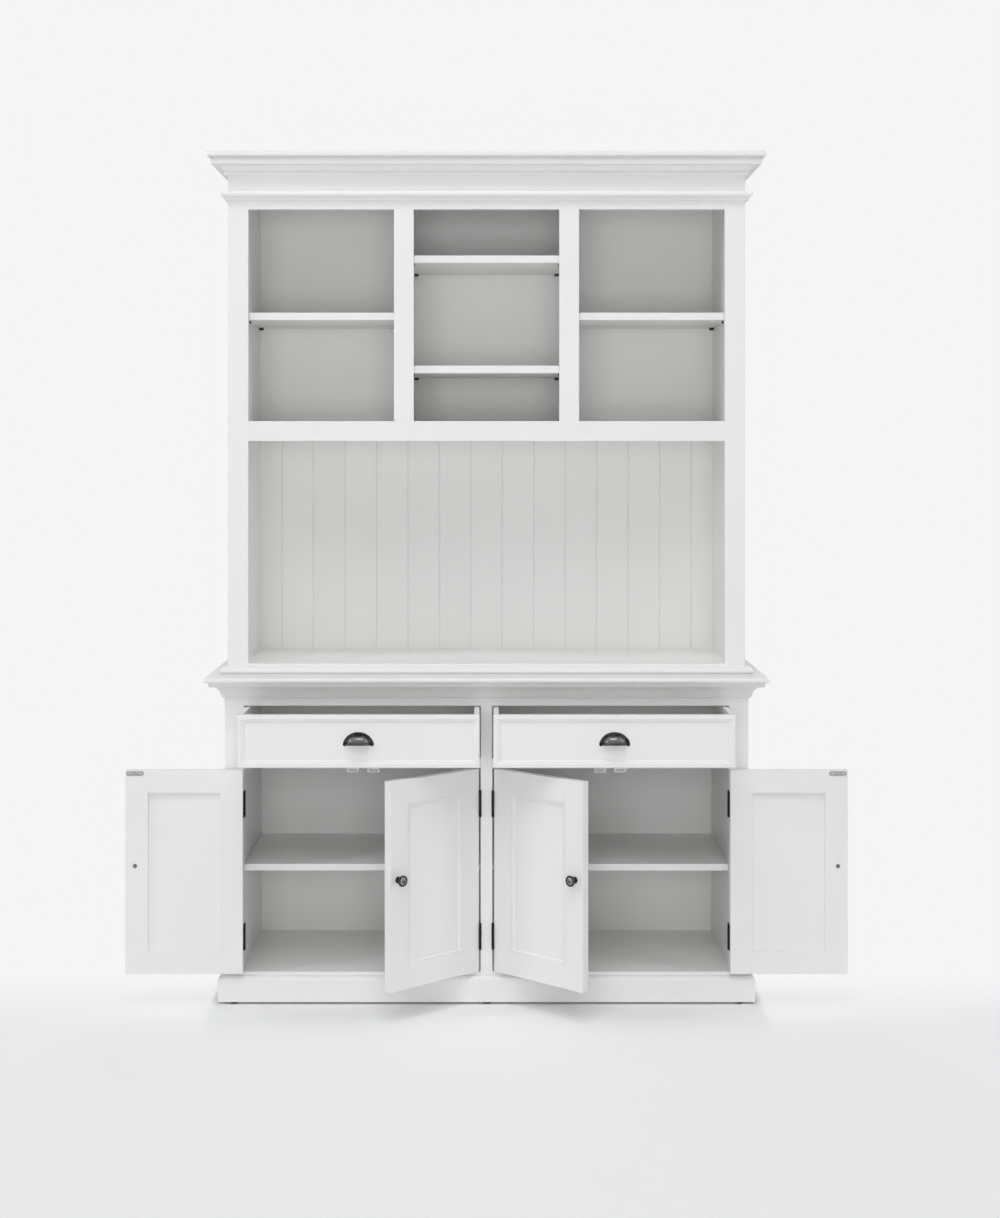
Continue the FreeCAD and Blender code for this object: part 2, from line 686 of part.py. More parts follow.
def strike_plate():
    """Round-ended steel plate at the top of the door's back, by the free edge, with its screws."""
    left = door_free_edge + strike_inset
    right = left + strike_length
    level = door_top - strike_inset - strike_width / 2
    radius = strike_width / 2
    places = [
        Vector(left + radius, door_back, level - radius), Vector(right - radius, door_back, level - radius),
        Vector(right, door_back, level), Vector(right - radius, door_back, level + radius),
        Vector(left + radius, door_back, level + radius), Vector(left, door_back, level),
    ]
    wire = Part.Wire([
        Part.LineSegment(places[0], places[1]).toShape(), Part.Arc(*places[1:4]).toShape(),
        Part.LineSegment(places[3], places[4]).toShape(), Part.Arc(places[4], places[5], places[0]).toShape(),
    ])
    plate = Part.Face(wire).extrude(Vector(0, strike_thickness, 0))
    screws = []
    holes = []
    for side in (-1, 1):
        head = Vector((left + right + side * strike_screw_pitch) / 2, door_back + strike_thickness, level)
        screws.append(screw(head, -y_axis, strike_thickness))
        holes.append(screw(head, -y_axis, strike_thickness, running_clearance))
    return [cut_all(plate, holes)] + screws, holes


def hang(shape, line, turned, angle):
    """Swing a shut piece open about its hinge line and put the line in its place."""
    swung = shape.copy()
    swung.rotate(centre, z_axis, angle)
    if turned:
        swung = flip(swung)
    swung.translate(Vector(line, hinge_line, 0))
    return swung


members, panel_pieces = door_members()
knob_pieces, knob_hole = door_knob()
strike_pieces, strike_holes = strike_plate()
hinges = [hinge(door_foot + hinge_inset), hinge(door_top - hinge_inset)]
door_leaves = [leaf for _, (leaf, _, _), _ in hinges]
door_leaf_screws = [one for _, (_, screws, _), _ in hinges for one in screws]
door_leaf_holes = [one for _, (_, _, holes), _ in hinges for one in holes]
free_stile = cut_all(members[0], [knob_hole] + strike_holes)
hinge_stile = cut_all(members[1], door_leaf_holes)
door_frame = [free_stile, hinge_stile] + members[2:]

outer_line = bay_outer_edge - hinge_gap / 2
inner_line = bay_edge + hinge_gap / 2
nodes["hinge_frame_leaves"] = []
nodes["hinge_frame_screws"] = []
nodes["hinge_pins"] = []
stiles = {"left": flip(outer_stile), "centre": centre_stile, "right": outer_stile}
for name, line, turned, angle, carrier in (
    ("door_outer_left", -outer_line, True, outer_door_angle, "left"),
    ("door_inner_left", -inner_line, False, inner_door_angle, "centre"),
    ("door_inner_right", inner_line, True, inner_door_angle, "centre"),
    ("door_outer_right", outer_line, False, outer_door_angle, "right"),
):
    for suffix, pieces in (
        ("frame", door_frame), ("panel", panel_pieces), ("knob", knob_pieces),
        ("hinge_leaves", door_leaves + door_leaf_screws), ("strike", strike_pieces),
    ):
        nodes[name + "_" + suffix] = [hang(piece, line, turned, angle) for piece in pieces]
    for (leaf, screws, holes), _, pin in hinges:
        nodes["hinge_frame_leaves"].append(hang(leaf, line, turned, 0))
        nodes["hinge_pins"].append(hang(pin, line, turned, 0))
        nodes["hinge_frame_screws"] += [hang(one, line, turned, 0) for one in screws]
        stiles[carrier] = cut_all(stiles[carrier], [hang(hole, line, turned, 0) for hole in holes])
nodes["base_stiles"] = list(stiles.values())

# Magnetic catches under the drawer rail, each facing a strike
catch_offset = meeting_gap / 2 + strike_inset + strike_length / 2
catch_front = frame_back + strike_thickness + catch_gap
nodes["door_catches"] = []
nodes["catch_magnets"] = []
for side in (-1, 1):
    middle = bay_middle + side * catch_offset
    foot = door_head - catch_height
    body = board(middle - catch_width / 2, middle + catch_width / 2, catch_front, catch_front + catch_depth,
                 foot, door_head)
    body = ease(body, catch_round, lambda box: box.XLength > box.ZLength and box.ZMax < foot + tolerance)
    level = door_top - strike_inset - strike_width / 2
    magnet = board(
        middle - magnet_width / 2, middle + magnet_width / 2, catch_front, catch_front + magnet_depth,
        level - magnet_height / 2, level + magnet_height / 2)
    nodes["door_catches"] += both_sides(body.cut(magnet))
    nodes["catch_magnets"] += both_sides(magnet)


# Drawers are built shut and centred on X = 0.
def cup_pull(face, foot):
    """Half-moon hood with a flat rim, open below, on two bosses for its screws."""

    def half_moon(unit_shape, across, out, up):
        scale = FreeCAD.Matrix()
        scale.scale(Vector(across, out, up))
        whole = unit_shape.transformGeometry(scale)
        return whole.common(board(-across - overrun, across + overrun, -out - overrun, 0, 0, up + overrun))

    across = pull_width / 2 - pull_rim
    up = pull_height - pull_rim
    ball = Part.makeSphere(1)
    disc = Part.makeCylinder(1, 1, centre, -y_axis)
    inside = half_moon(ball, across - pull_wall, pull_depth - pull_wall, up - pull_wall)
    rim = half_moon(disc, pull_width / 2, pull_wall, pull_height)
    hood = half_moon(ball, across, pull_depth, up).fuse(rim).cut(inside)
    pieces = []
    holes = []
    for side in (-1, 1):
        seat = Vector(side * boss_spacing / 2, 0, boss_height_share * pull_height)
        hood = hood.fuse(Part.makeCylinder(boss_radius, boss_length, seat, -y_axis))
        rear = seat + Vector(0, frame_thickness - drawer_bead_rise, 0)
        length = rear.y + boss_bolt_grip
        pieces.append(bolt(rear, -y_axis, length))
        holes.append(bolt(rear, -y_axis, length + running_clearance, running_clearance))
    pieces = [cut_all(hood, holes)] + pieces
    for piece in pieces + holes:
        piece.translate(Vector(0, face, foot))
    return pieces, holes


front_half = bay_width / 2 - drawer_gap
front_foot = drawer_foot + drawer_gap
front_head = drawer_head - drawer_gap
field = base_face + drawer_bead_rise
drawer_front = board(-front_half, front_half, field, frame_back, front_foot, front_head)
bead = sized(drawer_bead_shares, drawer_bead_width, drawer_bead_rise)
bead_strips = mitred_frame(bead, -front_half, front_half, front_foot, front_head, field)
pull_pieces, pull_holes = cup_pull(field, (front_foot + front_head) / 2 - pull_drop)
side_foot = drawer_foot + runner_clearance
side_head = front_head - drawer_side_drop
box_rear = frame_back + drawer_box_length
box_inside = drawer_half_box - drawer_board_thickness
bottom_foot = side_foot + drawer_bottom_rise
bottom_head = bottom_foot + drawer_bottom_thickness
bottom_half = box_inside + drawer_groove
bottom = board(-bottom_half, bottom_half, frame_back - drawer_groove, box_rear, bottom_foot, bottom_head)
bottom_groove = board(
    -bottom_half - groove_clearance, bottom_half + groove_clearance,
    frame_back - drawer_groove - groove_clearance, box_rear + overrun,
    bottom_foot - groove_clearance, bottom_head + groove_clearance)
drawer_side = board(box_inside, drawer_half_box, frame_back, box_rear, side_foot, side_head)
drawer_side = drawer_side.cut(bottom_groove)
drawer_rear = board(
    -box_inside, box_inside, box_rear - drawer_board_thickness, box_rear, bottom_head, side_head)
drawer_front = cut_all(drawer_front, pull_holes + [bottom_groove])
for name, side in (("drawer_left", -1), ("drawer_right", 1)):
    place = Vector(side * bay_middle, -drawer_pulled_out, 0)
    for suffix, pieces in (
        ("front", [drawer_front] + bead_strips), ("box", both_sides(drawer_side) + [drawer_rear, bottom]),
        ("pull", pull_pieces),
    ):
        nodes[name + "_" + suffix] = [piece.translated(place) for piece in pieces]

os.makedirs("parts", exist_ok=True)
for name, pieces in nodes.items():
    solids = [solid for piece in pieces for solid in piece.Solids]
    Part.makeCompound(solids).exportStep("parts/" + name + ".step")
print(len(nodes), "nodes,", sum(len(piece.Solids) for pieces in nodes.values() for piece in pieces), "solids")
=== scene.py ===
import json
import math
import bmesh
import bpy
import numpy as np
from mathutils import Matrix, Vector


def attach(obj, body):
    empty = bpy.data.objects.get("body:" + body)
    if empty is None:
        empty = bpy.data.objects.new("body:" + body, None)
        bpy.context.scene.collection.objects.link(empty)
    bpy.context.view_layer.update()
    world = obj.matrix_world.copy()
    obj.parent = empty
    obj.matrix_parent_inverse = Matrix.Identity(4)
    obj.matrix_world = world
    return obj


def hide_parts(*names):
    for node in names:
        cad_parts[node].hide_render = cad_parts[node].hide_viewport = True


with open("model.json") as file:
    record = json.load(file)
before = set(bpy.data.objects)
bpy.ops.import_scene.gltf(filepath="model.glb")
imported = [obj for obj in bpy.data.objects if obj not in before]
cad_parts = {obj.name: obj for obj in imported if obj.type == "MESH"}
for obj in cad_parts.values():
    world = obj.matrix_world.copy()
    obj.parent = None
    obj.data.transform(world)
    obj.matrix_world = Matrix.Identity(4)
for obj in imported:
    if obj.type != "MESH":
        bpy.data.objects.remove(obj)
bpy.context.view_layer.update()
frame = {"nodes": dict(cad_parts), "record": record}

scene = bpy.context.scene
cadNodes = frame["nodes"]
print("frame loaded:", len(cadNodes), "nodes")


# Shader tools

def feed(tree, socket, value):
    # a link from another node's socket, or a constant
    if isinstance(value, bpy.types.NodeSocket):
        tree.links.new(value, socket)
    else:
        socket.default_value = value


def addNode(tree, kind, sockets=None, **settings):
    # one node, with values or links on its sockets, which go by name or number
    node = tree.nodes.new(kind)
    for name, value in settings.items():
        setattr(node, name, value)
    for key, value in (sockets or {}).items():
        feed(tree, node.inputs[key], value)
    return node


def mixColours(tree, factor, first, second):
    # sockets 0, 6 and 7 are the factor and the two colours, and output 2 is the mixed colour
    return addNode(tree, "ShaderNodeMix", {0: factor, 6: first, 7: second}, data_type="RGBA").outputs[2]


def remap(tree, value, source, target=(0.0, 1.0), **settings):
    sockets = {
        "Value": value, "From Min": source[0], "From Max": source[1],
        "To Min": target[0], "To Max": target[1]}
    return addNode(tree, "ShaderNodeMapRange", sockets, **settings).outputs[0]


def smoothStep(tree, value, source, target=(0.0, 1.0)):
    return remap(tree, value, source, target, interpolation_type="SMOOTHSTEP")


def compute(tree, operation, first, second=0.0):
    return addNode(tree, "ShaderNodeMath", {0: first, 1: second}, operation=operation).outputs[0]


def noise(tree, place, scale, detail):
    sockets = {"Vector": place, "Scale": scale, "Detail": detail}
    return addNode(tree, "ShaderNodeTexNoise", sockets).outputs[0]


def grey(value):
    return (value, value, value, 1.0)


def newGroup(name, inputs, outputs):
    tree = bpy.data.node_groups.new(name, "ShaderNodeTree")
    for label, kind in inputs:
        tree.interface.new_socket(label, in_out="INPUT", socket_type="NodeSocket" + kind)
    for label, kind in outputs:
        tree.interface.new_socket(label, in_out="OUTPUT", socket_type="NodeSocket" + kind)
    return tree, tree.nodes.new("NodeGroupInput").outputs, tree.nodes.new("NodeGroupOutput").inputs


def useGroup(tree, group, sockets):
    return addNode(tree, "ShaderNodeGroup", sockets, node_tree=group).outputs


def newMaterial(name):
    material = bpy.data.materials.new(name)
    material.use_nodes = True
    tree = material.node_tree
    shader = tree.nodes["Principled BSDF"]
    place = addNode(tree, "ShaderNodeTexCoord").outputs["Object"]
    return material, tree, shader, place


def coat(tree, shader, colour, roughness, height, edges, values):
    # colour, roughness and fine relief, over the softened arrises
    bump = addNode(tree, "ShaderNodeBump", {
        "Height": height, "Normal": edges["Normal"],
        "Strength": values["reliefStrength"], "Distance": values["reliefDepth"]})
    feed(tree, shader.inputs["Base Color"], colour)
    feed(tree, shader.inputs["Roughness"], roughness)
    feed(tree, shader.inputs["Normal"], bump.outputs[0])


# Soft edges, which all finishes share

edgeValues = {"samples": 6, "turned": (0.98, 0.78)}    # cosine between flat and rounded normal, face to arris


def makeSoftEdges():
    # rounded normal over sharp arrises, and a mask that is 1 on them
    outputs = [("Normal", "Vector"), ("Edge", "Float")]
    tree, given, out = newGroup("softEdges", [("Radius", "Float")], outputs)
    bevel = addNode(tree, "ShaderNodeBevel", {"Radius": given["Radius"]}, samples=edgeValues["samples"])
    flat = addNode(tree, "ShaderNodeNewGeometry").outputs["Normal"]
    match = addNode(tree, "ShaderNodeVectorMath", {0: bevel.outputs[0], 1: flat}, operation="DOT_PRODUCT")
    feed(tree, out["Normal"], bevel.outputs[0])
    feed(tree, out["Edge"], remap(tree, match.outputs["Value"], edgeValues["turned"]))
    return tree


softEdges = makeSoftEdges()

# White paint, brushed along the grain of each board

paintFinish = {
    "tint": (0.906, 0.901, 0.883, 1.0),
    "shade": (0.891, 0.885, 0.865, 1.0),
    "edgeRadius": 0.0012,
    "alongGrain": 9.0,              # brush marks per metre along the grain
    "acrossGrain": 420.0,
    "driftScale": 2.6, "driftDetail": 3.0, "driftRange": (0.35, 0.65),
    "brushScale": 1.0, "brushDetail": 4.0, "brushRange": (0.3, 0.7), "roughness": (0.3, 0.42),
    "peelScale": 520.0, "peelDetail": 1.0, "peelShare": 0.35,
    "reliefStrength": 0.6, "reliefDepth": 0.00006,
}


def makeBrushedPaint():
    # brush marks along the grain, fine orange peel and slow drifts of tone
    inputs = [("Place", "Vector"), ("Streak", "Vector"), ("Tint", "Color"), ("Shade", "Color")]
    outputs = [("Color", "Color"), ("Roughness", "Float"), ("Height", "Float")]
    tree, given, out = newGroup("brushedPaint", inputs, outputs)
    v = paintFinish
    drift = noise(tree, given["Place"], v["driftScale"], v["driftDetail"])
    brush = noise(tree, given["Streak"], v["brushScale"], v["brushDetail"])
    peel = noise(tree, given["Place"], v["peelScale"], v["peelDetail"])
    driftMask = remap(tree, drift, v["driftRange"])
    feed(tree, out["Color"], mixColours(tree, driftMask, given["Tint"], given["Shade"]))
    feed(tree, out["Roughness"], remap(tree, brush, v["brushRange"], v["roughness"]))
    feed(tree, out["Height"], compute(tree, "ADD", brush, compute(tree, "MULTIPLY", peel, v["peelShare"])))
    return tree


brushedPaint = makeBrushedPaint()


def makePaint(name, grainAxis):
    material, tree, shader, place = newMaterial(name)
    stretch = [paintFinish["acrossGrain"]] * 3
    stretch[grainAxis] = paintFinish["alongGrain"]
    streak = addNode(tree, "ShaderNodeMapping", {"Vector": place, "Scale": stretch}).outputs[0]
    paint = useGroup(tree, brushedPaint, {
        "Place": place, "Streak": streak, "Tint": paintFinish["tint"], "Shade": paintFinish["shade"]})
    edges = useGroup(tree, softEdges, {"Radius": paintFinish["edgeRadius"]})
    coat(tree, shader, paint["Color"], paint["Roughness"], paint["Height"], edges, paintFinish)
    return material


# Metals, aged alike

metalWear = {
    "blotchScale": 130.0, "blotchDetail": 4.0, "blotchRange": (0.3, 0.7), "patches": (-0.12, 0.12),
    "gritScale": 1400.0, "gritDetail": 2.0,
    "edgeShare": 0.5,               # how far an arris is rubbed
    "roughness": (0.2, 0.34),
    "reliefStrength": 0.25, "reliefDepth": 0.00008,
}
metalFinishes = {
    "darkPewter": {
        # the rubbed colour is kept light enough to also paint the highlights on the pulls and knobs
        "dark": (0.018, 0.018, 0.019, 1.0), "rubbedAndSheen": (0.32, 0.32, 0.325, 1.0),
        "edge": 0.0008, "metallic": 1.0,
    },
    "hingeBlack": {"dark": grey(0.012), "rubbedAndSheen": grey(0.04), "edge": 0.0005, "metallic": 0.6},
    "pinZinc": {"dark": grey(0.06), "rubbedAndSheen": grey(0.2), "edge": 0.0006, "metallic": 0.8},
    "plainSteel": {"dark": grey(0.38), "rubbedAndSheen": grey(0.6), "edge": 0.0004, "metallic": 1.0},
}


def makeAgedMetal():
    # blotchy patina, with the arrises and the handled places rubbed lighter; the same lighter colour also
    # paints the highlights that the pulls and knobs carry in their rub channel
    inputs = [
        ("Place", "Vector"), ("Edge", "Float"), ("RubAndSheen", "Float"), ("Dark", "Color"), ("RubbedAndSheen", "Color")]
    outputs = [("Color", "Color"), ("Roughness", "Float"), ("Height", "Float")]
    tree, given, out = newGroup("agedMetal", inputs, outputs)
    v = metalWear
    blotch = noise(tree, given["Place"], v["blotchScale"], v["blotchDetail"])
    grit = noise(tree, given["Place"], v["gritScale"], v["gritDetail"])
    patches = remap(tree, blotch, v["blotchRange"], v["patches"])
    rubAndSheen = compute(tree, "MAXIMUM", compute(tree, "MULTIPLY", given["Edge"], v["edgeShare"]), given["RubAndSheen"])
    rubAndSheenMask = remap(tree, compute(tree, "ADD", rubAndSheen, patches), (0.0, 1.0))
    feed(tree, out["Color"], mixColours(tree, rubAndSheenMask, given["Dark"], given["RubbedAndSheen"]))
    feed(tree, out["Roughness"], remap(tree, blotch, v["blotchRange"], v["roughness"]))
    feed(tree, out["Height"], grit)
    return tree


agedMetal = makeAgedMetal()


def makeMetal(name):
    values = metalFinishes[name]
    material, tree, shader, place = newMaterial(name)
    edges = useGroup(tree, softEdges, {"Radius": values["edge"]})
    # per-point rub from the hardware meshes, which also holds painted highlights on the pull's shoulder and
    # the knob's front ring
    handledAndSheen = addNode(tree, "ShaderNodeAttribute", attribute_name="rubAndSheen").outputs["Fac"]
    aged = useGroup(tree, agedMetal, {
        "Place": place, "Edge": edges["Edge"], "RubAndSheen": handledAndSheen,
        "Dark": values["dark"], "RubbedAndSheen": values["rubbedAndSheen"]})
    coat(tree, shader, aged["Color"], aged["Roughness"], aged["Height"], edges, metalWear)
    shader.inputs["Metallic"].default_value = values["metallic"]
    return material


# White plastic of the door catches

plasticFinish = {
    "light": grey(0.84), "dark": grey(0.79), "edgeRadius": 0.0012,
    "grainScale": 900.0, "grainDetail": 2.0, "grainRange": (0.3, 0.7), "roughness": (0.42, 0.55),
    "reliefStrength": 0.2, "reliefDepth": 0.00005,
}


def makePlastic():
    v = plasticFinish
    material, tree, shader, place = newMaterial("whitePlastic")
    edges = useGroup(tree, softEdges, {"Radius": v["edgeRadius"]})
    grain = noise(tree, place, v["grainScale"], v["grainDetail"])
    tone = mixColours(tree, remap(tree, grain, v["grainRange"]), v["light"], v["dark"])
    coat(tree, shader, tone, remap(tree, grain, v["grainRange"], v["roughness"]), grain, edges, v)
    return material


# Finishes on the CAD pieces, by slot, and for paint by the way that the boards run

paintUpright = makePaint("whitePaintUpright", grainAxis=2)
paintLevel = makePaint("whitePaintLevel", grainAxis=0)
darkPewter = makeMetal("darkPewter")
plainSteel = makeMetal("plainSteel")
slotFinishes = {
    "dark_pewter": darkPewter, "hinge_metal": makeMetal("hingeBlack"), "pin_metal": makeMetal("pinZinc"),
    "steel": plainSteel, "white_plastic": makePlastic(),
}
levelWords = (
    "plinth", "floor", "rails", "shel", "worktop", "top", "cornice", "bead", "moulding", "drawer", "runner")


def finishFor(nodeName, slotName):
    paint = paintLevel if any(word in nodeName for word in levelWords) else paintUpright
    return slotFinishes.get(slotName, paint)


for entry in frame["record"]["subparts"]:
    node = cadNodes[entry["node"]]
    node.data.materials.clear()
    node.data.materials.append(finishFor(entry["node"], entry["material_slot"]))
print("finishes on the CAD pieces")


# Hardware: turned knobs, cup pulls and strike plates, shaped finer than the CAD solids, in millimetres

hardwareValues = {"perMetre": 1000, "mergeWithin": 1e-6, "sharpAngle": 50}


def catmullRom(points, samples):
    # smooth curve through control points: the uniform cubic with tangents (next - previous) / 2
    p = np.array(points, dtype=float)
    p = np.concatenate([2 * p[:1] - p[1:2], p, 2 * p[-1:] - p[-2:-1]])
    t = np.linspace(0, len(points) - 1, samples)
    i = np.minimum(t.astype(int), len(points) - 2)
    f = (t - i)[:, None]
    before, start, end, after = p[i], p[i + 1], p[i + 2], p[i + 3]
    return 0.5 * (2 * start + (end - before) * f + (2 * before - 5 * start + 4 * end - after) * f ** 2
                  + (3 * start - before - 3 * end + after) * f ** 3)


def joinParts(name, parts, material, body, replaced=()):
    # one object from several shells of points (x, y, z, and how far the metal is rubbed bright, which also
    # carries painted highlights) and faces;
    # doubles at poles and seams are merged
    points, faces, base = [], [], 0
    for partPoints, partFaces in parts:
        points.append(partPoints)
        faces += [tuple(base + i for i in face) for face in partFaces]
        base += len(partPoints)
    points = np.concatenate(points)
    mesh = bpy.data.meshes.new(name)
    mesh.from_pydata((points[:, :3] / hardwareValues["perMetre"]).tolist(), [], faces)
    mesh.attributes.new("rubAndSheen", "FLOAT", "POINT").data.foreach_set("value", points[:, 3].astype(np.float32))
    work = bmesh.new()
    work.from_mesh(mesh)
    bmesh.ops.remove_doubles(work, verts=work.verts, dist=hardwareValues["mergeWithin"])
    bmesh.ops.recalc_face_normals(work, faces=work.faces)
    work.to_mesh(mesh)
    work.free()
    mesh.polygons.foreach_set("use_smooth", np.ones(len(mesh.polygons), dtype=bool))
    mesh.set_sharp_from_angle(angle=math.radians(hardwareValues["sharpAngle"]))
    mesh.materials.append(material)
    piece = bpy.data.objects.new(name, mesh)
    scene.collection.objects.link(piece)
    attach(piece, body)
    for node in replaced:
        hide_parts(node)


def gridFaces(rows, columns, closeColumns=False, capRows=False):
    # quads between neighbouring points of a grid; a cap closes the first and last rows
    down, along = np.meshgrid(
        np.arange(rows - 1), np.arange(columns if closeColumns else columns - 1), indexing="ij")
    here, below, beside = down * columns, (down + 1) * columns, (along + 1) % columns
    quads = np.stack([here + along, below + along, below + beside, here + beside], axis=-1)
    faces = [tuple(quad) for quad in quads.reshape(-1, 4).tolist()]
    if capRows:
        faces += [tuple(range(columns)), tuple(range((rows - 1) * columns, rows * columns))]
    return faces


def gridPoints(x, y, z, rubAndSheen):
    # one row for each point of the grid
    return np.stack(np.broadcast_arrays(x, y, z, rubAndSheen), axis=-1).reshape(-1, 4)


def turned(profile, around):
    # lathe over a profile of (radius, height, rub and painted highlight): x = r cos a, z = r sin a, and
    # height runs forwards (-Y)
    angle = np.linspace(0, 2 * math.pi, around, endpoint=False)
    radius, height, rubAndSheen = (profile[:, i:i + 1] for i in range(3))
    points = gridPoints(radius * np.cos(angle), -height, radius * np.sin(angle), np.clip(rubAndSheen, 0, 1))
    return points, gridFaces(len(profile), around, closeColumns=True)


screwValues = {
    "slotLength": 0.62, "slotWidth": 0.2, "slotDepth": 0.45,    # shares of the head
    "slotSides": 1.6, "slotEnds": 4.0, "slotMiddle": 1.15, "slotFall": 0.5,
    "dome": 0.35, "rings": 26, "around": 72,
}


def crossHead(radius, height, rubMiddle, rubRim):
    # domed head: h = H (1 - dome (r/R)^4) with a cross recess that is deepest in the middle
    v = screwValues
    share = np.concatenate([np.linspace(0, 1, v["rings"]), [1.0]])[:, None]
    angle = np.linspace(0, 2 * math.pi, v["around"], endpoint=False)[None, :]
    x, z = share * np.cos(angle), share * np.sin(angle)
    along = np.maximum(np.abs(x), np.abs(z)) / v["slotLength"]
    across = np.minimum(np.abs(x), np.abs(z)) / v["slotWidth"]
    sides = np.clip(v["slotSides"] - v["slotSides"] * across, 0, 1)
    ends = np.clip(v["slotEnds"] - v["slotEnds"] * along, 0, 1)
    recess = v["slotDepth"] * sides * ends * (v["slotMiddle"] - v["slotFall"] * along)
    rise = height * (1 - v["dome"] * share ** 4 - recess)
    rise[-1] = 0.0
    rubAndSheen = np.where(share < v["slotLength"], rubMiddle, rubRim)
    points = gridPoints(radius * x, -rise, radius * z, rubAndSheen)
    return points, gridFaces(len(share), v["around"], closeColumns=True)


def shifted(part, offset, backwards=False):
    points, faces = part
    return points * np.array([1, -1 if backwards else 1, 1, 1]) + np.array([*offset, 0]), faces


doorValues = {
    "hingeY": -203.5,
    "hanging": {                    # hinge line in x, mirrored or not, opening angle
        "outer_left": (-623.9, True, 180.0), "inner_left": (-16.1, False, 43.5),
        "inner_right": (16.1, True, 43.5), "outer_right": (623.9, False, 180.0),
    },
    "front": 3.5, "rear": 25.5,     # faces of the shut door from the hinge line
}


def hangOnDoor(part, doorName):
    # swing about the hinge line, mirror for a door hung on the other side, then put the line in place
    points, faces = part
    line, mirrored, opening = doorValues["hanging"][doorName]
    turn = math.radians(opening)
    x = points[:, 0] * math.cos(turn) - points[:, 1] * math.sin(turn)
    y = points[:, 0] * math.sin(turn) + points[:, 1] * math.cos(turn)
    if mirrored:
        x = -x
    return gridPoints(x + line, y + doorValues["hingeY"], points[:, 2], points[:, 3]), faces


knobValues = {
    "seat": (-277.4, 358.66),       # x from the hinge line and height
    "outline": [                    # radius, height, rub: rose, neck, flared head, ringed front with a dimple; the flare is rubbed lighter, and the bright front ring is rubbed metal and a painted highlight
        (0, 0, 0), (7.6, 0, 0), (8.2, 0.5, 0.1), (8.2, 1.7, 0.1), (7.4, 2.7, 0), (5.8, 4.1, 0),
        (5.1, 6.3, 0), (5.0, 8.8, 0), (5.8, 11.2, 0.1), (8.2, 13.6, 0.3), (11.3, 15.2, 0.4),
        (13.3, 16.4, 0.4), (14.0, 18.2, 0.2), (13.8, 20.0, 0.1), (13.0, 21.3, 0.1), (12.0, 21.7, 0.1),
        (11.1, 21.2, 0), (10.5, 20.8, 0.2), (9.7, 21.3, 0.8), (8.6, 22.3, 1), (7.2, 23.1, 0.8),
        (5.6, 23.6, 0.5), (4.2, 24.2, 0.7), (3.0, 24.6, 0.6), (2.0, 24.4, 0.2), (1.2, 23.8, 0), (0, 23.5, 0)],
    "rings": 130, "around": 64,
    "boltRadius": 5.0, "boltHeight": 2.2, "boltRub": (1.0, 0.0),
}


def makeKnob(doorName):
    x, z = knobValues["seat"]
    outline = catmullRom(knobValues["outline"], knobValues["rings"])
    outline[:, 0] = np.maximum(outline[:, 0], 0.0)
    knob = shifted(turned(outline, knobValues["around"]), (x, doorValues["front"], z))
    head = crossHead(knobValues["boltRadius"], knobValues["boltHeight"], *knobValues["boltRub"])
    head = shifted(head, (x, doorValues["rear"], z), True)
    body = "door_" + doorName
    knob, head = hangOnDoor(knob, doorName), hangOnDoor(head, doorName)
    joinParts("knob_" + doorName, [knob], darkPewter, body, [body + "_knob"])
    joinParts("knob_bolt_" + doorName, [head], darkPewter, body)


strikeValues = {
    "middle": (-277.4, 596.0),      # x from the hinge line and height
    "length": 46.0, "width": 12.0, "thick": 1.2, "edge": 0.5, "rubAndSheen": 0.3,
    "around": 64, "edgeSteps": 5, "centreHalf": 0.01,
    "screwPitch": 28.0, "screwRadius": 2.8, "screwRise": 0.35, "screwRub": (1.0, 1.0),
}


def makeStrike(doorName):
    # stadium plate: straight run plus half circles, pulled in by the edge radius towards the top face
    v = strikeValues
    x, z = v["middle"]
    angle = np.linspace(0, 2 * math.pi, v["around"], endpoint=False)
    radius, straight = v["width"] / 2, (v["length"] - v["width"]) / 2
    turn = np.linspace(0, math.pi / 2, v["edgeSteps"])
    inset = np.concatenate([[0.0], v["edge"] * (1 - np.cos(turn)), [radius - v["centreHalf"]]])[:, None]
    rise = np.concatenate([[0.0], v["thick"] - v["edge"] * (1 - np.sin(turn)), [v["thick"]]])[:, None]
    px = (radius - inset) * np.cos(angle) + straight * np.sign(np.round(np.cos(angle), 6))
    pz = (radius - inset) * np.sin(angle)
    faces = gridFaces(len(rise), len(angle), closeColumns=True, capRows=True)
    parts = [shifted((gridPoints(px, -rise, pz, v["rubAndSheen"]), faces), (x, doorValues["rear"], z), True)]
    screw = crossHead(v["screwRadius"], v["screwRise"], *v["screwRub"])
    for offset in (-v["screwPitch"] / 2, v["screwPitch"] / 2):
        parts.append(shifted(screw, (x + offset, doorValues["rear"] + v["thick"], z), True))
    body = "door_" + doorName
    parts = [hangOnDoor(part, doorName) for part in parts]
    joinParts("strike_" + doorName, parts, plainSteel, body, [body + "_strike"])


for doorName in doorValues["hanging"]:
    makeKnob(doorName)
    makeStrike(doorName)

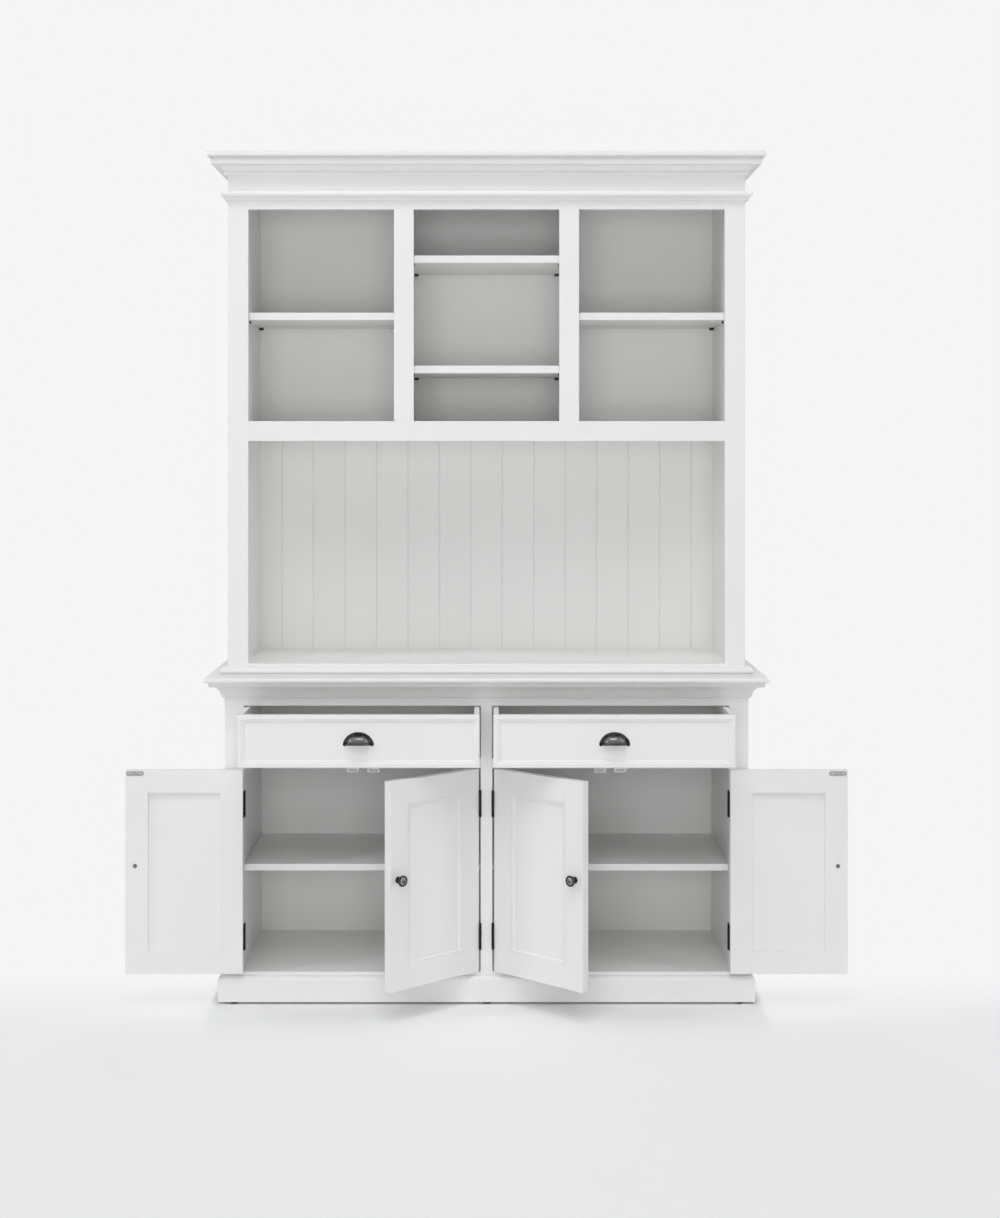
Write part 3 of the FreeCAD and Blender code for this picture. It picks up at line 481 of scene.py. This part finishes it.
pullValues = {
    "middle": 320.0, "face": -362.5, "rear": -346.0, "foot": 685.5,    # at rest, drawers drawn out
    "halfWidth": 39.5, "height": 36.0, "depth": 22.0,
    "flangeWidth": 10.5, "flangeRise": 3.0, "flangeFullness": 0.6, "flangeRub": 0.08,
    "archAngle": 89, "endShare": 0.11,      # half the arch in degrees, and the share of it that rounds off
    "flangeSteps": 121, "sectionSteps": 17,
    "lipRise": 6.0, "lipDrop": 2.0, "wall": 2.0,
    "tuck": 0.85,                   # share of the flange's width that the cup stays below the arch's top
    "squareness": 2.7,              # 2 is a round cup, more gives it a flatter face and a tighter shoulder
    "climbSteps": 36, "rollSteps": 9, "sweepSteps": 65,
    # faceRub and lipRub are an even rub; the shoulder's share paints the highlight that the lamps would put
    # on the cup's shoulder
    "faceRub": 0.16, "shoulderHighlight": 0.44, "lipRub": 0.15,
    "boltSpacing": 40.0, "boltHeight": 0.3, "boltRadius": 5.0, "boltRise": 2.2, "boltRub": (0.5, 0.5),
}


def pullFlange():
    # a low half ellipse carried along the arch x = a cos t, z = b sin t, with round ends
    v = pullValues
    half = v["flangeWidth"] / 2
    along = np.linspace(-1, 1, v["flangeSteps"])[:, None]
    arch = math.pi / 2 - along * math.radians(v["archAngle"])
    fromEnd = np.clip(1 - (1 - np.abs(along)) / v["endShare"], 0, 1)
    endRound = np.sqrt(np.clip(1 - fromEnd ** 2, 0, 1))
    a, b = v["halfWidth"] - half, v["height"] - half
    section = np.linspace(0, math.pi, v["sectionSteps"])[None, :]
    out = half * np.cos(section) * endRound
    nx, nz = np.cos(arch) / a, np.sin(arch) / b
    size = np.hypot(nx, nz)
    x = a * np.cos(arch) + out * nx / size
    z = b * np.sin(arch) + out * nz / size
    y = -v["flangeRise"] * np.sin(section) ** v["flangeFullness"] * endRound
    return gridPoints(x, y, z, v["flangeRub"]), gridFaces(len(along), section.size, closeColumns=True)


def pullCup():
    # superellipses x = k a cos^p f, depth = k d sin^p f, p = 2 / squareness, stacked up a profile of
    # (k, height) that runs down the outside, round the lip and up the inside
    v = pullValues
    power = 2 / v["squareness"]
    wall, deep = v["wall"], v["depth"]
    a, b = v["halfWidth"] - v["flangeWidth"], v["height"] - v["flangeWidth"] * v["tuck"] - v["lipRise"]
    climb = np.linspace(math.pi / 2, 0, v["climbSteps"])
    roll = np.linspace(0, math.pi, v["rollSteps"])[1:-1]
    upright, level = np.sin(climb) ** power, np.cos(climb) ** power
    thin = wall / deep
    k = np.concatenate([level, 1 - thin / 2 * (1 - np.cos(roll)), (1 - thin) * level[::-1]])[None, :]
    rise = np.concatenate([b * upright, -wall / 2 * np.sin(roll), (b - wall) * upright[::-1]])[None, :]
    # painted highlight: the outside of the cup is made lighter towards its shoulder, peaking halfway up, on
    # top of an even rub
    outside = v["faceRub"] + v["shoulderHighlight"] * np.sin(2 * climb)
    rubAndSheen = np.concatenate([outside, v["lipRub"] + 0 * roll, 0 * climb])[None, :]
    sweep = np.linspace(0, math.pi, v["sweepSteps"])[:, None]
    cosine = np.cos(sweep)
    x = k * a * np.sign(cosine) * np.abs(cosine) ** power
    y = -k * deep * np.sin(sweep) ** power
    z = v["lipRise"] + rise - v["lipDrop"] * cosine ** 4 * k ** 2
    return gridPoints(x, y, z, rubAndSheen), gridFaces(len(sweep), k.size, closeColumns=True, capRows=True)


def makePull(name, side):
    v = pullValues
    body = "drawer_" + name
    place = (side * v["middle"], v["face"], v["foot"])
    parts = [shifted(pullFlange(), place), shifted(pullCup(), place)]
    joinParts("pull_" + name, parts, darkPewter, body, [body + "_pull"])
    bolt = crossHead(v["boltRadius"], v["boltRise"], *v["boltRub"])
    height = v["foot"] + v["boltHeight"] * v["height"]
    spread = (-v["boltSpacing"] / 2, v["boltSpacing"] / 2)
    heads = [shifted(bolt, (side * v["middle"] + offset, v["rear"], height), True) for offset in spread]
    joinParts("pull_bolts_" + name, heads, plainSteel, body)


makePull("left", -1)
makePull("right", 1)
print("knobs, strikes and pulls")


# Stage: a level pale floor that runs into a plain background

stageValues = {
    "halfWidth": 14.0, "steps": 9,
    "tone": 0.95, "roughness": 0.9, "specular": 0.1,
    "plainTone": 0.915,             # of the background, and of the floor's glow
    "frontGlow": 0.55, "glowRise": (-0.5, 0.1),     # share of the glow in front, where in y it rises to all
    "footHalfWidth": 0.69, "footFront": -0.215, "footRear": 0.25,
    "shadeReach": 0.32, "sideReach": 0.03,
    "plainFrom": 2.2, "plainBeyond": 4.5,
}


def seenRays(tree):
    # 1 where the camera, a mirror or glass looks, 0 for light that falls on the object
    rays = addNode(tree, "ShaderNodeLightPath").outputs
    mirrored = compute(tree, "MAXIMUM", rays["Is Glossy Ray"], rays["Is Transmission Ray"])
    return compute(tree, "MAXIMUM", rays["Is Camera Ray"], mirrored)


def glowShare(tree, place):
    # the glow is less in front, and fades to nothing towards the plinth's outline, so the shadow there stays:
    # distance = length of (max(|x| - half width, 0) / side reach, max(front - y, y - rear, 0) / shade reach)
    v = stageValues
    along = addNode(tree, "ShaderNodeSeparateXYZ", {"Vector": place}).outputs
    beside = compute(tree, "SUBTRACT", compute(tree, "ABSOLUTE", along["X"]), v["footHalfWidth"])
    before = compute(tree, "SUBTRACT", v["footFront"], along["Y"])
    behind = compute(tree, "SUBTRACT", along["Y"], v["footRear"])
    aside = compute(tree, "DIVIDE", compute(tree, "MAXIMUM", beside, 0.0), v["sideReach"])
    astern = compute(tree, "MAXIMUM", compute(tree, "MAXIMUM", before, behind), 0.0)
    astern = compute(tree, "DIVIDE", astern, v["shadeReach"])
    squares = compute(tree, "ADD", compute(tree, "POWER", aside, 2.0), compute(tree, "POWER", astern, 2.0))
    clear = smoothStep(tree, compute(tree, "SQRT", squares), (0.0, 1.0))
    away = smoothStep(tree, along["Y"], v["glowRise"], (v["frontGlow"], 1.0))
    reach = addNode(tree, "ShaderNodeVectorMath", {"Vector": place}, operation="LENGTH").outputs["Value"]
    far = smoothStep(tree, reach, (v["plainFrom"], v["plainBeyond"]))
    return compute(tree, "MULTIPLY", clear, compute(tree, "MAXIMUM", away, far))


def makeStage():
    # level square about the origin: x and y = half width times -1 to 1, z = 0
    steps = np.linspace(-1, 1, stageValues["steps"])
    x, y = np.meshgrid(*[stageValues["halfWidth"] * steps] * 2, indexing="ij")
    points = np.stack([x, y, np.zeros_like(x)], axis=-1).reshape(-1, 3)
    mesh = bpy.data.meshes.new("studioFloor")
    mesh.from_pydata(points.tolist(), [], gridFaces(*x.shape))
    floor = bpy.data.objects.new("studioFloor", mesh)
    scene.collection.objects.link(floor)
    material, tree, shader, place = newMaterial("studioWhite")
    shader.inputs["Base Color"].default_value = grey(stageValues["tone"])
    shader.inputs["Roughness"].default_value = stageValues["roughness"]
    shader.inputs["Specular IOR Level"].default_value = stageValues["specular"]
    glow = addNode(tree, "ShaderNodeEmission", {"Color": grey(stageValues["plainTone"]), "Strength": 1.0})
    share = compute(tree, "MULTIPLY", seenRays(tree), glowShare(tree, place))
    blend = addNode(tree, "ShaderNodeMixShader", {0: share, 1: shader.outputs[0], 2: glow.outputs[0]})
    feed(tree, tree.nodes["Material Output"].inputs["Surface"], blend.outputs[0])
    floor.data.materials.append(material)


makeStage()

# Light: an even room, soft boxes at both sides, in front, overhead and behind, and an even light from
# high in front

lightValues = {
    "room": 0.15,
    "tint": (0.975, 0.99, 1.01),
    "boxes": {                      # watts, and whether metal mirrors the box
        "left": {
            "at": (-3.0, -1.5, 2.3), "aim": (0.0, -0.1, 0.9), "size": (0.5, 1.0),
            "watts": 17.0, "mirrored": True,
        },
        "right": {
            "at": (3.0, -1.5, 2.3), "aim": (0.0, -0.1, 0.9), "size": (0.45, 0.9),
            "watts": 11.0, "mirrored": True,
        },
        "front": {
            "at": (-0.2, -5.5, 1.3), "aim": (0.0, 0.0, 1.1), "size": (2.4, 1.8),
            "watts": 66.0, "mirrored": False,
        },
        "top": {
            "at": (0.0, -1.7, 4.6), "aim": (0.0, -1.7, 0.0), "size": (1.4, 1.2),
            "watts": 30.0, "mirrored": True,
        },
        "rear": {
            "at": (0.0, 4.6, 2.8), "aim": (0.0, 0.2, 1.1), "size": (3.0, 2.0),
            "watts": 60.0, "mirrored": False,
        },
    },
    "even": {                       # degrees above the floor, degrees to the right of the front, and spread
        "height": 52.0, "side": -8.0, "spread": 40.0, "strength": 0.74, "mirrored": False,
    },
}


def makeRoomLight():
    world = bpy.data.worlds.new("studioRoom")
    scene.world = world
    world.use_nodes = True
    tree = world.node_tree
    base = tree.nodes["Background"]
    base.inputs["Color"].default_value = (*lightValues["tint"], 1.0)
    base.inputs["Strength"].default_value = lightValues["room"]
    plain = addNode(tree, "ShaderNodeBackground", {"Color": grey(stageValues["plainTone"]), "Strength": 1.0})
    blend = addNode(tree, "ShaderNodeMixShader", {0: seenRays(tree), 1: base.outputs[0], 2: plain.outputs[0]})
    feed(tree, tree.nodes["World Output"].inputs["Surface"], blend.outputs[0])


def placeLamp(name, lamp, mirrored):
    lamp.color = lightValues["tint"]
    light = bpy.data.objects.new(name, lamp)
    light.visible_glossy = mirrored
    scene.collection.objects.link(light)
    return light


def makeSoftBox(name, values):
    lamp = bpy.data.lights.new(name, "AREA")
    lamp.shape = "RECTANGLE"
    lamp.size, lamp.size_y = values["size"]
    lamp.energy = values["watts"]
    box = placeLamp(name, lamp, values["mirrored"])
    box.location = values["at"]
    box.rotation_mode = "QUATERNION"
    box.rotation_quaternion = (Vector(values["aim"]) - Vector(values["at"])).to_track_quat("-Z", "Y")


def makeEvenLight(name, values):
    # comes from one side and height, with the same strength all over
    lamp = bpy.data.lights.new(name, "SUN")
    lamp.angle = math.radians(values["spread"])
    lamp.energy = values["strength"]
    light = placeLamp(name, lamp, values["mirrored"])
    light.rotation_euler = (math.radians(90 - values["height"]), 0.0, math.radians(values["side"]))


makeRoomLight()
for boxName, boxValues in lightValues["boxes"].items():
    makeSoftBox(boxName + "SoftBox", boxValues)
makeEvenLight("highEvenLight", lightValues["even"])

# Camera: level, straight at the front, shifted so that the frame matches the photograph

cameraValues = {
    "eye": (0.0, -5.25, 1.4256),
    "frameWidth": 1000, "frameHeight": 1218,     # pixels of the photograph
    "focalPixels": 1958.0,
    "eyeColumn": 486.5, "eyeRow": 450.0,         # pixel straight ahead of the eye
    "sensor": 36.0,
}


def makeCamera():
    lens = bpy.data.cameras.new("photoCamera")
    lens.sensor_width = cameraValues["sensor"]
    longSide = cameraValues["frameHeight"]
    lens.lens = cameraValues["focalPixels"] / longSide * cameraValues["sensor"]
    lens.shift_x = (cameraValues["frameWidth"] / 2 - cameraValues["eyeColumn"]) / longSide
    lens.shift_y = (cameraValues["eyeRow"] - cameraValues["frameHeight"] / 2) / longSide
    camera = bpy.data.objects.new("photoCamera", lens)
    camera.location = cameraValues["eye"]
    camera.rotation_euler = (math.pi / 2, 0.0, 0.0)
    scene.collection.objects.link(camera)
    scene.camera = camera


makeCamera()
scene.view_settings.view_transform = "Standard"
print("stage, light and camera")
